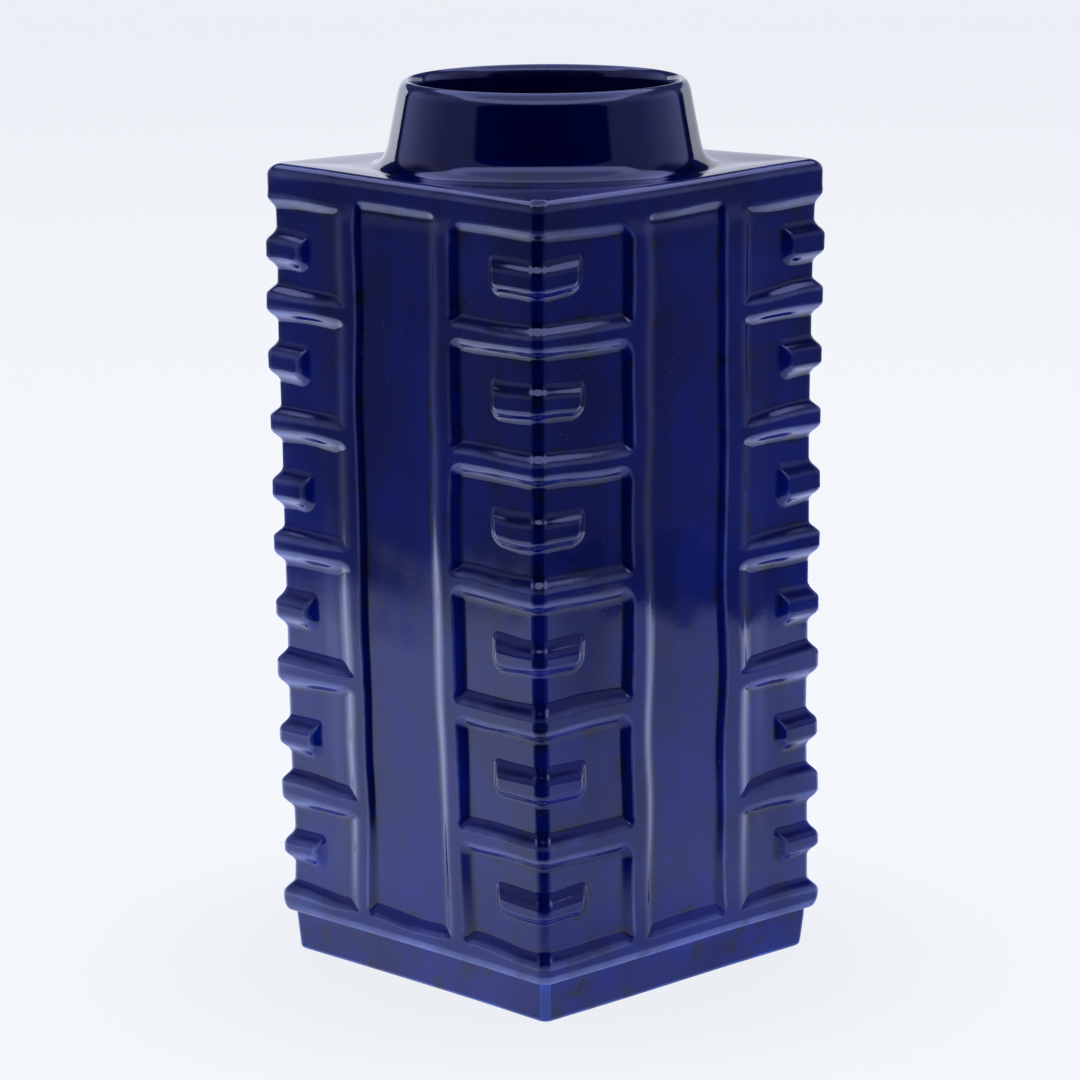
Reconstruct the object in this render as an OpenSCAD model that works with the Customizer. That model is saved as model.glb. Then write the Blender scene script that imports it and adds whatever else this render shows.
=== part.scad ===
// Square cong vase, slab built: four pressed wall slabs on a mitred foot, a slab shoulder and a thrown neck.
// Origin at the centre of the foot's underside, +Z up, walls facing -Y, +X, +Y and -X. Millimetres.

/* [Overall] */
// Height from the underside of the foot to the top of the lip
total_h = 280; // [270:1:300]
// Height of the foot below the walls
foot_h = 14; // [11:0.5:18]
// Height of the neck above the flat shoulder
neck_h = 26.6; // [24:0.2:34]

/* [Walls] */
// Width across the sunk ground of two opposite walls, at the shoulder
ground_w_top = 120; // [116:0.5:126]
// Width across the sunk ground of two opposite walls, at the foot
ground_w_foot = 116.8; // [114:0.4:120]
// Radius of the upright corners, at the sunk ground
corner_r = 2.75; // [2:0.25:4]
// Thickness of a wall behind the sunk ground
wall_t = 6.5; // [5:0.25:8]

/* [Relief] */
// How far the bars and ridges stand out from the sunk ground
relief = 2.5; // [1.6:0.1:3.2]
// Width of the slope from the ground up to a bar or ridge
slope_w = 3.75; // [2.5:0.25:4.5]
// Width of the sunk strip down the middle of a wall, between the tops of its slopes
strip_w = 35; // [30:0.5:40]
// Width of the flat top of an upright bar
bar_w = 6; // [4:0.25:8]
// Height of the flat top of a ridge between two registers
ridge_h = 7; // [5:0.25:9]
// How much lower the top and bottom registers are than those between
end_short = 2.5; // [0:0.25:5]
// Number of sunk registers up each corner
registers = 6; // [5:1:6]
// Height of the plain border above the foot
border_h = 8; // [6:0.25:10]
// Height of the bevel under the border
border_bevel = 2.5; // [1.5:0.25:4]
// Height of the plain band below the flat shoulder
top_band_h = 9.4; // [8.6:0.2:12]
// How much higher the strip reaches than the registers
strip_rise = 2; // [0.5:0.25:2.5]

/* [Applied bars] */
// Length of an applied bar along each wall, from the sharp corner of the ground
applied_reach = 18.5; // [14:0.5:22]
// Height of an applied bar where it meets the ground
applied_h = 11; // [9:0.25:13]
// How far an applied bar stands out from the ground
applied_t = 2.6; // [1.6:0.1:3.2]
// Width of the slope around an applied bar
applied_slope = 2.5; // [1.5:0.25:3.5]
// Thickness of an applied bar's softened edge
applied_edge = 0.4; // [0.2:0.1:0.8]

/* [Shoulder and neck] */
// Thickness of the shoulder slab
shoulder_t = 5.4; // [4:0.2:6]
// How far the shoulder's rounded edge runs in
shoulder_edge = 4; // [2:0.25:4.5]
// Bore of the neck and of the hole in the shoulder
neck_bore_d = 82; // [74:1:86]
// Thickness of the lip
lip_t = 4.6; // [3.6:0.2:6]
// Outer diameter of the neck where it stands on the shoulder
neck_base_d = 99.8; // [98:0.2:104]
// Height of the coil around the foot of the neck
neck_coil_h = 6; // [4:0.25:8]
// How far that coil runs out over the shoulder
neck_coil_run = 5.6; // [3:0.2:6]
// Thickness of that coil's smoothed edges
neck_coil_edge = 0.4; // [0.2:0.1:0.8]

/* [Foot and base] */
// Width of the foot just under the walls
foot_w_top = 115.4; // [113:0.2:116]
// Width of the foot at the table
foot_w_table = 113.6; // [111:0.2:115]
// Radius of the foot's upright corners
foot_corner_r = 2.5; // [2:0.25:4]
// Size of the softened lower edge of the foot
foot_edge = 1.4; // [0.6:0.1:1.8]
// Thickness of a foot strip
foot_t = 10; // [8:0.5:14]
// Thickness of the base slab
base_t = 8; // [6:0.5:10]

/* [Inner coils] */
// Size of the coils pressed into the inner seams
coil_leg = 7; // [4:0.5:9]
// Thickness of the smoothed edges of the coils along the base and shoulder
coil_edge = 1; // [0.5:0.25:1.5]

/* [Hidden] */
SIDES = ["front", "right", "back", "left"];
CORNERS = ["front_right", "back_right", "back_left", "front_left"];

GLAZE = "#1b1d5c";
INNER_GLAZE = "#16184a";
FOOT_GLAZE = "#24286c";

// Levels, from the foot up
shoulder_z = total_h - neck_h;
wall_top = shoulder_z - shoulder_t;
field_low = foot_h + border_h;
field_high = shoulder_z - top_band_h;
strip_high = field_high + strip_rise;
base_top = foot_h + base_t;

// Angles stepped through in half a rounded corner, a rounded edge, a hollow coil and a half-round lip
arc_steps = [0, 15, 30, 45];
edge_steps = [0:22.5:90];
hollow_steps = [0:15:90];
lip_steps = [0:15:180];
// Sides of a turned piece, and how far a cut runs past the piece it cuts
turned_fn = 96;
cut_over = 1;

// Half the width of the sunk ground at a height
function ground_half(z) =
    let (rise = (z - foot_h) / (shoulder_z - foot_h))
    (ground_w_foot + (ground_w_top - ground_w_foot) * rise) / 2;

// Half the width of the hollow at a height
function hollow_half(z) = ground_half(z) - wall_t;

// Middle of each ridge, and lower and upper edge of each register, from the top down
field_mid = (field_low + field_high) / 2;
ridge_pitch = (field_high - field_low + ridge_h + 2 * end_short) / registers;
ridge_z = [for (k = [1:registers - 1]) field_mid + (registers / 2 - k) * ridge_pitch];
register_high = concat([field_high], [for (z = ridge_z) z - ridge_h / 2]);
register_low = concat([for (z = ridge_z) z + ridge_h / 2], [field_low]);

// A station along the front wall is a distance from its middle, or a sign and an angle round a corner
function flat_station(t) = [t, undef];
function corner_stations(sign) = [for (a = arc_steps) [sign, a]];

// Point on a rounded square of a given half width and corner radius, at a station of the front wall
function plan_point(station, half, radius, z) =
    let (c = half - radius, a = station[1])
    is_undef(a)
        ? [station[0], -half, z]
        : [station[0] * (c + radius * sin(a)), -c - radius * cos(a), z];

// Point a given distance out from the sunk ground of the front wall
function face_point(station, z, out) = plan_point(station, ground_half(z) + out, corner_r + out, z);

// A point turned by a number of quarter turns about the upright axis
function turned(p, quarters) = quarters == 0 ? p : turned([-p[1], p[0], p[2]], quarters - 1);

function reversed(v) = [for (i = [len(v) - 1:-1:0]) v[i]];

// Numbers in rising order, each once
function rising(v) =
    len(v) == 0
        ? []
        : concat(
            rising([for (x = v) if (x < v[0]) x]),
            [v[0]],
            rising([for (x = v) if (x > v[0]) x])
        );

// The two triangles of one cell of a skin, split along its longer diagonal so that slopes meet in a mitre
function cell(points, a, b, c, d) =
    norm(points[a] - points[c]) >= norm(points[b] - points[d])
        ? [[a, c, b], [a, d, c]]
        : [[a, d, b], [b, d, c]];

// Solid through closed loops of equally many points, stacked upwards, each anticlockwise from above
module skin(loops) {
    n = len(loops[0]);
    points = [for (loop = loops, p = loop) p];
    sides = [
        for (j = [0:len(loops) - 2], i = [0:n - 1])
            let (k = (i + 1) % n)
            each cell(points, j * n + i, j * n + k, (j + 1) * n + k, (j + 1) * n + i)
    ];
    floor_face = [for (i = [0:n - 1]) i];
    roof_face = [for (i = [0:n - 1]) len(points) - 1 - i];
    polyhedron(points, concat([floor_face], sides, [roof_face]));
}

// How far each part of a wall stands out at each height: the bars, the strip and the corner registers
bar_profile = [[foot_h, 0], [foot_h + border_bevel, relief], [wall_top, relief]];
strip_profile = concat(
    [[foot_h, 0], [foot_h + border_bevel, relief], [field_low, relief], [field_low + slope_w, 0]],
    [[strip_high - slope_w, 0], [strip_high, relief], [wall_top, relief]]
);
register_profile = concat(
    [[foot_h, 0], [foot_h + border_bevel, relief]],
    [
        for (k = [registers - 1:-1:0])
            each [
                [register_low[k], relief],
                [register_low[k] + slope_w, 0],
                [register_high[k] - slope_w, 0],
                [register_high[k], relief]
            ]
    ],
    [[wall_top, relief]]
);
wall_levels = rising([for (p = concat(bar_profile, strip_profile, register_profile)) p[0]]);

// Stations from the middle of a wall to its right mitre, each with the profile that holds there
bar_inner = strip_w / 2;
bar_outer = bar_inner + bar_w;
right_half = concat(
    [
        [flat_station(bar_inner - slope_w), strip_profile],
        [flat_station(bar_inner), bar_profile],
        [flat_station(bar_outer), bar_profile],
        [flat_station(bar_outer + slope_w), register_profile]
    ],
    [for (s = corner_stations(1)) [s, register_profile]]
);
left_half = [for (s = reversed(right_half)) [[-s[0][0], s[0][1]], s[1]]];
wall_stations = concat(left_half, right_half);

// A square cross-section of the hollow's wall, seen from the front side, between two half widths
function mitred_loop(outer, inner, z) = [
    [-outer, -outer, z],
    [outer, -outer, z],
    [inner, -inner, z],
    [-inner, -inner, z]
];

module on_side(i) {
    rotate(90 * i)
        children();
}

// Pressed wall slab with its relief, mitred at both upright edges
module wall() {
    color(GLAZE)
        skin([
            for (z = wall_levels)
                let (inner = hollow_half(z))
                concat(
                    [for (s = wall_stations) face_point(s[0], z, lookup(z, s[1]))],
                    [[inner, -inner, z], [-inner, -inner, z]]
                )
        ]);
}

// Short bar luted over the corner between the front and right walls, in the middle of register k
module applied_bar(k) {
    mid = (register_low[k] + register_high[k]) / 2;
    low = mid - applied_h / 2;
    high = mid + applied_h / 2;
    end = ground_half(mid) - applied_reach;
    front_half = concat(
        [[flat_station(end), applied_edge], [flat_station(end + applied_slope), applied_t]],
        [for (s = corner_stations(1)) [s, applied_t]]
    );
    levels = [
        [low, applied_edge],
        [low + applied_slope, applied_t],
        [high - applied_slope, applied_t],
        [high, applied_edge]
    ];
    // The right wall's half is the front wall's half mirrored across the corner, without the shared point
    right_wall_half = [for (i = [len(front_half) - 2:-1:0]) front_half[i]];
    function outline(z, most) = concat(
        [for (s = front_half) face_point(s[0], z, min(s[1], most))],
        [
            for (s = right_wall_half)
                let (mirrored = [-s[0][0], s[0][1]])
                turned(face_point(mirrored, z, min(s[1], most)), 1)
        ]
    );
    color(GLAZE)
        skin([for (l = levels) concat(outline(l[0], l[1]), reversed(outline(l[0], 0)))]);
}

// Square top slab with a rounded edge, on top of the walls, with the hole for the neck
module shoulder_slab() {
    right_corner = corner_stations(1);
    // One side runs from its left mitre to just short of its right mitre, where the next side begins
    side = concat(
        reversed(corner_stations(-1)),
        [for (i = [0:len(right_corner) - 2]) right_corner[i]]
    );
    color(GLAZE)
        difference() {
            skin([
                for (a = edge_steps)
                    let (
                        z = wall_top + shoulder_t * sin(a),
                        out = relief - shoulder_edge * (1 - cos(a))
                    )
                    [for (q = [0:3], s = side) turned(face_point(s, z, out), q)]
            ]);
            translate([0, 0, wall_top - cut_over])
                cylinder(h = shoulder_t + 2 * cut_over, d = neck_bore_d, $fn = turned_fn);
        }
}

// Radius of the neck's outside at a height: a cone from its foot to the start of the lip
neck_bore_r = neck_bore_d / 2;
lip_r = lip_t / 2;
lip_mid = neck_bore_r + lip_r;
lip_z = total_h - lip_r;
function neck_r(z) =
    let (rise = (z - shoulder_z) / (lip_z - shoulder_z))
    neck_base_d / 2 + (lip_mid + lip_r - neck_base_d / 2) * rise;

// Thrown neck with a straight bore and a half-round lip
module neck() {
    lip = [for (a = lip_steps) [lip_mid + lip_r * cos(a), lip_z + lip_r * sin(a)]];
    color(GLAZE)
        rotate_extrude($fn = turned_fn)
            polygon(concat([[neck_bore_r, shoulder_z], [neck_base_d / 2, shoulder_z]], lip));
}

// Coil smoothed into the angle between the neck and the shoulder, hollow in section
module neck_coil() {
    top = shoulder_z + neck_coil_h;
    toe_r = neck_base_d / 2 + neck_coil_run;
    run = toe_r - neck_r(top) - neck_coil_edge;
    drop = neck_coil_h - neck_coil_edge;
    sweep = [for (a = hollow_steps) [toe_r - run * sin(a), top - drop * cos(a)]];
    color(GLAZE)
        rotate_extrude($fn = turned_fn)
            polygon(concat(
                [[neck_base_d / 2, shoulder_z], [toe_r, shoulder_z]],
                sweep,
                [[neck_r(top), top]]
            ));
}

// One mitred strip of the square foot, with a softened lower edge
module foot() {
    low = foot_w_table / 2;
    high = foot_w_top / 2;
    inner = high - foot_t;
    levels = [[0, low - foot_edge], [foot_edge, low], [foot_h, high]];
    outer = concat(reversed(corner_stations(-1)), corner_stations(1));
    color(FOOT_GLAZE)
        skin([
            for (l = levels)
                concat(
                    [for (s = outer) plan_point(s, l[1], foot_corner_r, l[0])],
                    [[inner, -inner, l[0]], [-inner, -inner, l[0]]]
                )
        ]);
}

// Floor of the vase, let in between the walls and carried on the foot strips
module base_slab() {
    color(INNER_GLAZE)
        skin([
            for (z = [foot_h, base_top])
                let (h = hollow_half(z))
                [[-h, -h, z], [h, -h, z], [h, h, z], [-h, h, z]]
        ]);
}

// Coil in the upright inner seam between the front and right walls
module corner_coil() {
    color(INNER_GLAZE)
        skin([
            for (z = [base_top + coil_leg, wall_top - coil_leg])
                let (h = hollow_half(z))
                [[h - coil_leg, -h, z], [h, -h, z], [h, -h + coil_leg, z]]
        ]);
}

// Coil in the inner seam between the base and the front wall
module base_coil() {
    color(INNER_GLAZE)
        skin([
            for (l = [[base_top, coil_leg], [base_top + coil_leg, coil_edge]])
                mitred_loop(hollow_half(l[0]), hollow_half(l[0]) - l[1], l[0])
        ]);
}

// Coil in the inner seam between the shoulder and the front wall
module shoulder_coil() {
    color(INNER_GLAZE)
        skin([
            for (l = [[wall_top - coil_leg, coil_edge], [wall_top, coil_leg]])
                mitred_loop(hollow_half(l[0]), hollow_half(l[0]) - l[1], l[0])
        ]);
}

for (i = [0:3]) {
    on_side(i) wall();
    on_side(i) foot();
    on_side(i) base_coil();
    on_side(i) shoulder_coil();
    on_side(i) corner_coil();
    for (k = [1:registers])
        on_side(i) applied_bar(k - 1);
}
shoulder_slab();
neck();
neck_coil();
base_slab();
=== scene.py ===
import math

import bpy
import numpy as np
from mathutils import Matrix


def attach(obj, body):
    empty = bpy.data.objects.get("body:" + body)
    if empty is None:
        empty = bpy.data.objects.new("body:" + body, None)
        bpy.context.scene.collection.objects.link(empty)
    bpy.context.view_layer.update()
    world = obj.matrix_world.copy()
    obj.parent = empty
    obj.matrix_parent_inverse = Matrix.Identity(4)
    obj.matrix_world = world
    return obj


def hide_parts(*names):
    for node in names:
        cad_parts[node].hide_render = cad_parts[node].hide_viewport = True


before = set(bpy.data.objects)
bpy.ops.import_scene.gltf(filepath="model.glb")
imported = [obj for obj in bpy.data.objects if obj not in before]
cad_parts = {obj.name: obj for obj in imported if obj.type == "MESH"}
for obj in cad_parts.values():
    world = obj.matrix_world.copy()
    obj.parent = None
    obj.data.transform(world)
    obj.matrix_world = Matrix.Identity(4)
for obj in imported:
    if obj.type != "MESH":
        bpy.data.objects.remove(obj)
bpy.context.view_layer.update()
scene = bpy.context.scene
sides = ["front", "right", "back", "left"]
corners = ["front_right", "back_right", "back_left", "front_left"]
print("frame loaded with", len(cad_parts), "nodes")

# camera, fitted to the photograph's corners and lip
camera = {
    "place": (0.9696, -0.9696, 0.4255),
    "turn": 45.0905,
    "pitch": 12.0046,
    "roll": -0.336,
    "lens": 147.72,
    "sensor": 36.0,
    "clip": (0.05, 60.0),
}


def makeCamera():
    data = bpy.data.cameras.new("photoCamera")
    data.lens = camera["lens"]
    data.sensor_width = camera["sensor"]
    data.sensor_fit = "HORIZONTAL"
    data.clip_start, data.clip_end = camera["clip"]
    data.dof.use_dof = False
    eye = bpy.data.objects.new("photoCamera", data)
    scene.collection.objects.link(eye)
    turn = Matrix.Rotation(math.radians(camera["turn"]), 4, "Z")
    lean = Matrix.Rotation(math.radians(90.0 - camera["pitch"]), 4, "X")
    roll = Matrix.Rotation(math.radians(camera["roll"]), 4, "Z")
    eye.matrix_world = Matrix.Translation(camera["place"]) @ turn @ lean @ roll
    scene.camera = eye
    scene.view_settings.view_transform = "Standard"
    scene.view_settings.look = "None"


makeCamera()
print("camera placed")

# the whole vase, in millimetres as all shapes here
body = {
    "footTop": 13.3,
    "wallTop": 248.0,
    "shoulder": 253.4,
    "lip": 280.0,
    "groundFoot": 116.8,
    "groundTop": 120.0,
    "cornerRadius": 3.7,
    "wallThick": 6.5,
}
mm = 0.001
flatEnd = 50.0  # beyond this, a wall's columns stretch with its width
cornerAt = 59.5  # about where the corners stand, on x and on y
# hand-made unevenness: wave length and seed
waves = {
    "edgeAlong": (34.0, 11),
    "edgeUp": (30.0, 23),
    "face": (55.0, 37),
    "skin": (13.0, 41),
    "shoulder": (40.0, 53),
    "bar": (20.0, 61),
    "neck": (60.0, 71),
    "foot": (40.0, 83),
}
waveCount = 14
# the arris of the corners, over the angle of its arc
# steep is the arris's share of the painted shade on steep slopes
arris = {"span": (0.0, 0.4), "calm": 0.65, "bend": 0.06, "steep": 0.52}


def groundHalf(z):
    rise = (z - body["footTop"]) / (body["shoulder"] - body["footTop"])
    return (body["groundFoot"] + (body["groundTop"] - body["groundFoot"]) * rise) / 2


def smooth(low, high, x):
    t = np.clip((x - low) / (high - low), 0.0, 1.0)
    return t * t * (3.0 - 2.0 * t)


def spaced(low, high, step):
    return np.linspace(low, high, max(2, int(round((high - low) / step)) + 1))


def ogee(m, start, finish):
    # from 0 to 1, rounded over a share of the way at its start and at its finish
    m = np.clip(m, 0.0, 1.0)
    steep = 1.0 / (1.0 - start / 2 - finish / 2)
    head = steep * m * m / (2 * start)
    run = steep * (m - start / 2)
    tail = 1.0 - steep * (1.0 - m) ** 2 / (2 * finish)
    return np.where(m < start, head, np.where(m > 1.0 - finish, tail, run))


def cornered(a, b, r):
    # depth inside two edges that meet in a corner of radius r
    inCorner = (a < r) & (b < r)
    curved = r - np.hypot(np.maximum(r - a, 0.0), np.maximum(r - b, 0.0))
    return np.where(inCorner, curved, np.minimum(a, b))


def ripple(points, wave, seed):
    # smooth unevenness of about unit height, the same on both sides of a seam
    draw = np.random.RandomState(seed)
    total = np.zeros(points.shape[:-1])
    for _ in range(waveCount):
        way = draw.normal(size=3)
        way /= np.linalg.norm(way)
        length = wave * draw.uniform(0.7, 1.6)
        total += np.sin(points @ way * (2 * math.pi / length) + draw.uniform(0, 2 * math.pi))
    return total / math.sqrt(waveCount / 2)


def turned(points, quarters):
    out = points.copy()
    for _ in range(quarters % 4):
        out = np.stack([-out[..., 1], out[..., 0], out[..., 2]], axis=-1)
    return out


def unit(v):
    return v / np.maximum(np.linalg.norm(v, axis=-1, keepdims=True), 1e-12)


def gridNormals(grid, closed):
    up = np.gradient(grid, axis=0)
    if closed:
        along = np.roll(grid, -1, axis=1) - np.roll(grid, 1, axis=1)
    else:
        along = np.gradient(grid, axis=1)
    return unit(np.cross(along, up))


def calmArris(normals, arc):
    # the glaze bridges the arris, so slopes that face up lean less there
    calm = normals.copy()
    less = 1.0 - arris["calm"] * smooth(*arris["span"], arc)
    calm[..., 2] *= np.where(calm[..., 2] > 0, less, 1.0)
    return unit(calm)


def gridBend(grid, normals, closed, share=1.0):
    # how convex (+) or hollow (-) the surface is, per millimetre, with share weighing the bend along rows
    def oneWay(before, after):
        a = before - grid
        b = after - grid
        la = np.maximum(np.linalg.norm(a, axis=-1), 1e-6)
        lb = np.maximum(np.linalg.norm(b, axis=-1), 1e-6)
        lift = np.sum((a / la[..., None] + b / lb[..., None]) * normals, axis=-1)
        return -2.0 * lift / (la + lb)

    rowsBefore = np.concatenate([grid[:1], grid[:-1]])
    rowsAfter = np.concatenate([grid[1:], grid[-1:]])
    bend = oneWay(rowsBefore, rowsAfter)
    bend[0] = 0.0
    bend[-1] = 0.0
    if closed:
        bend += share * oneWay(np.roll(grid, 1, axis=1), np.roll(grid, -1, axis=1))
    return bend


def soften(field, closed, rounds):
    for _ in range(rounds):
        above = np.concatenate([field[:1], field[:-1]])
        below = np.concatenate([field[1:], field[-1:]])
        field = (above + 2 * field + below) / 4
        if closed:
            field = (np.roll(field, 1, axis=1) + 2 * field + np.roll(field, -1, axis=1)) / 4
    return field


def gridFaces(rows, cols, closedRows, closedCols, start=0):
    r = np.arange(rows if closedRows else rows - 1)
    c = np.arange(cols if closedCols else cols - 1)
    rr, cc = np.meshgrid(r, c, indexing="ij")
    r2 = (rr + 1) % rows
    c2 = (cc + 1) % cols
    quads = np.stack([rr * cols + cc, rr * cols + c2, r2 * cols + c2, r2 * cols + cc], axis=-1)
    return quads.reshape(-1, 4) + start


def endCaps(rows, cols):
    first = [i * cols for i in range(rows)]
    return [first, [i + cols - 1 for i in first[::-1]]]


def padded(rows, count):
    # rows of zeros for the hidden faces behind a piece's skin
    return np.concatenate([rows, np.zeros((count, *rows.shape[1:]))])


def layPiece(node, points, quads, caps, normals, masks, smoothCount, material):
    # the first smoothCount quads take the given normals, the others stay flat
    name = node + "_glazed"
    mesh = bpy.data.meshes.new(name)
    mesh.from_pydata((points.reshape(-1, 3) * mm).tolist(), [], quads.tolist() + caps)
    mesh.shade_smooth()
    faceNormals = np.zeros(len(mesh.polygons) * 3, np.float32)
    mesh.polygons.foreach_get("normal", faceNormals)
    sizes = np.zeros(len(mesh.polygons), np.int32)
    mesh.polygons.foreach_get("loop_total", sizes)
    split = np.repeat(faceNormals.reshape(-1, 3), sizes, axis=0)
    split[: smoothCount * 4] = normals.reshape(-1, 3)[quads[:smoothCount].reshape(-1)]
    mesh.normals_split_custom_set(split)
    for key, values in masks.items():
        layer = mesh.attributes.new(key, "FLOAT", "POINT")
        layer.data.foreach_set("value", values.reshape(-1).astype(np.float32))
    mesh.materials.append(material)
    piece = bpy.data.objects.new(name, mesh)
    scene.collection.objects.link(piece)
    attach(piece, "root")
    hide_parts(node)


# node helpers for the glazes and the studio, with nodes laid out in columns
nodeGrid = {"rows": 6, "wide": 220, "high": 260}


def addNode(tree, kind, **values):
    node = tree.nodes.new(kind)
    column, row = divmod(len(tree.nodes) - 1, nodeGrid["rows"])
    node.location = (column * nodeGrid["wide"], -row * nodeGrid["high"])
    for key, value in values.items():
        setattr(node, key, value)
    return node


def plug(tree, socket, x):
    # a number or a colour is set on the socket, anything else is linked to it
    if isinstance(x, (int, float)):
        socket.default_value = x
    elif isinstance(x, tuple):
        socket.default_value = (*x, 1.0)
    else:
        tree.links.new(x, socket)


def reckon(tree, op, a, b=None):
    node = addNode(tree, "ShaderNodeMath", operation=op)
    plug(tree, node.inputs[0], a)
    if b is not None:
        plug(tree, node.inputs[1], b)
    return node.outputs[0]


def times(tree, a, b):
    return reckon(tree, "MULTIPLY", a, b)


def plus(tree, a, b):
    return reckon(tree, "ADD", a, b)


def minus(tree, a, b):
    return reckon(tree, "SUBTRACT", a, b)


def mixColour(tree, factor, a, b, blend="MIX"):
    node = addNode(tree, "ShaderNodeMix", data_type="RGBA", blend_type=blend)
    for i, x in ((0, factor), (6, a), (7, b)):
        plug(tree, node.inputs[i], x)
    return node.outputs[2]


def mapRange(tree, x, low, high, toLow=0.0, toHigh=1.0):
    node = addNode(tree, "ShaderNodeMapRange", interpolation_type="SMOOTHSTEP")
    tree.links.new(x, node.inputs["Value"])
    for key, value in (("From Min", low), ("From Max", high), ("To Min", toLow), ("To Max", toHigh)):
        node.inputs[key].default_value = value
    return node.outputs["Result"]


def noise(tree, vector, scale, detail, stretch=None):
    if stretch:
        mapping = addNode(tree, "ShaderNodeMapping")
        mapping.inputs["Scale"].default_value = stretch
        tree.links.new(vector, mapping.inputs["Vector"])
        vector = mapping.outputs["Vector"]
    node = addNode(tree, "ShaderNodeTexNoise")
    node.inputs["Scale"].default_value = scale
    node.inputs["Detail"].default_value = detail
    tree.links.new(vector, node.inputs["Vector"])
    return node.outputs["Fac"]


def vectorValue(tree, op, vector, axis=None):
    node = addNode(tree, "ShaderNodeVectorMath", operation=op)
    tree.links.new(vector, node.inputs[0])
    if axis is not None:
        node.inputs[1].default_value = tuple(axis)
    return node.outputs["Value"]


def objectPlace(tree):
    return addNode(tree, "ShaderNodeTexCoord").outputs["Object"]


def meshMask(tree, name):
    return addNode(tree, "ShaderNodeAttribute", attribute_name=name).outputs["Fac"]


def newMaterial(name):
    material = bpy.data.materials.new(name)
    material.use_nodes = True
    tree = material.node_tree
    tree.nodes.clear()
    surface = addNode(tree, "ShaderNodeOutputMaterial").inputs["Surface"]
    return material, tree, surface


def newGroup(name, inputs, outputs):
    group = bpy.data.node_groups.new(name, "ShaderNodeTree")
    for key, value in inputs.items():
        isColour = isinstance(value, tuple)
        kind = "NodeSocketColor" if isColour else "NodeSocketFloat"
        socket = group.interface.new_socket(name=key, in_out="INPUT", socket_type=kind)
        socket.default_value = (*value, 1.0) if isColour else value
    for key, kind in outputs.items():
        group.interface.new_socket(name=key, in_out="OUTPUT", socket_type=kind)
    return group, addNode(group, "NodeGroupInput").outputs, addNode(group, "NodeGroupOutput").inputs


def useGroup(tree, group, settings):
    node = addNode(tree, "ShaderNodeGroup", node_tree=group)
    for key, x in settings.items():
        plug(tree, node.inputs[key], x)
    return node.outputs


# patterns in the glaze: noise scale, detail and stretch, and the spans that are read from them
pattern = {
    "clouds": (38.0, 3.0),
    "streaks": (60.0, 2.0, (1.0, 1.0, 0.12)),
    "cloudSpan": (0.25, 0.75),
    "edgeSpan": (0.35, 1.0),
    "poolSpan": (0.1, 0.9),
    "poolLevel": 0.6,
    "spots": (130.0, 4.0),
    "spotSpan": (0.5, 0.64),
    "stainSpan": (0.02, 0.25),
    "holes": {"Scale": 300.0, "Size": 0.13},
    "holeRim": 0.06,
    "crowds": (30.0, 3.0),
    "crowdRim": 0.08,
    "runs": (170.0, 2.0, (1.0, 1.0, 0.16)),
    "peel": (520.0, 2.0),
    "smears": (46.0, 4.0),
    "smearSpan": (0.42, 0.72),
    "grain": (900.0, 3.0),
    "rustSpan": (0.3, 0.62),
    "claySpan": (0.55, 0.95),
}


def glazeColourGroup():
    # cobalt glaze: thin and paler on the crests, where highlight lines and light from above are also
    # painted; deep in the hollows and in painted shade on steep slopes and the arris; cloudy over the
    # flats
    group, take, give = newGroup(
        "glazeColour",
        {
            "Deep": (0.0, 0.0, 0.1),
            "Thin And Lit": (0.0, 0.1, 0.3),
            "Stain": (0.02, 0.02, 0.01),
            "Thinning And Light": 0.0,
            "Pool And Shade": 0.0,
            "Cloud": 0.3,
            "Streak": 1.0,
            "Stain Amount": 0.5,
            "Stain Spread": 0.1,
        },
        {"Color": "NodeSocketColor"},
    )
    place = objectPlace(group)
    clouds = noise(group, place, *pattern["clouds"])
    streaks = minus(group, noise(group, place, *pattern["streaks"]), 0.5)
    streaks = times(group, streaks, take["Streak"])
    swell = mapRange(group, plus(group, clouds, streaks), *pattern["cloudSpan"], -1.0, 1.0)
    level = plus(group, times(group, swell, take["Cloud"]), 1.0)
    # paler where the glaze is thin and where light is painted: crest highlight lines and slopes that face
    # up
    thinningAndLight = mapRange(group, take["Thinning And Light"], *pattern["edgeSpan"])
    colour = mixColour(group, thinningAndLight, take["Deep"], take["Thin And Lit"])
    # deeper where the glaze pools in hollows, and painted shade on steep upright slopes and along the
    # arris
    pooled = mapRange(group, take["Pool And Shade"], *pattern["poolSpan"], 1.0, pattern["poolLevel"])
    deepened = addNode(group, "ShaderNodeVectorMath", operation="SCALE")
    group.links.new(colour, deepened.inputs[0])
    group.links.new(times(group, pooled, level), deepened.inputs["Scale"])
    # brownish stains, mostly where the glaze has pooled
    few = mapRange(group, noise(group, place, *pattern["spots"]), *pattern["spotSpan"])
    near = mapRange(group, take["Pool And Shade"], *pattern["stainSpan"])
    near = reckon(group, "MAXIMUM", near, take["Stain Spread"])
    amount = times(group, times(group, few, near), take["Stain Amount"])
    stained = mixColour(group, amount, deepened.outputs[0], take["Stain"])
    group.links.new(stained, give["Color"])
    return group


def pinholeGroup():
    # tiny pale pinholes where bubbles broke in the glaze
    group, take, give = newGroup(
        "glazePinholes",
        {"Scale": 260.0, "Size": 0.1, "Crowd": 0.5},
        {"Mask": "NodeSocketFloat"},
    )
    place = objectPlace(group)
    cells = addNode(group, "ShaderNodeTexVoronoi")
    group.links.new(place, cells.inputs["Vector"])
    group.links.new(take["Scale"], cells.inputs["Scale"])
    rim = minus(group, take["Size"], cells.outputs["Distance"])
    dot = mapRange(group, rim, 0.0, pattern["holeRim"])
    crowd = minus(group, noise(group, place, *pattern["crowds"]), take["Crowd"])
    some = mapRange(group, crowd, 0.0, pattern["crowdRim"])
    group.links.new(times(group, dot, some), give["Mask"])
    return group


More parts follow.
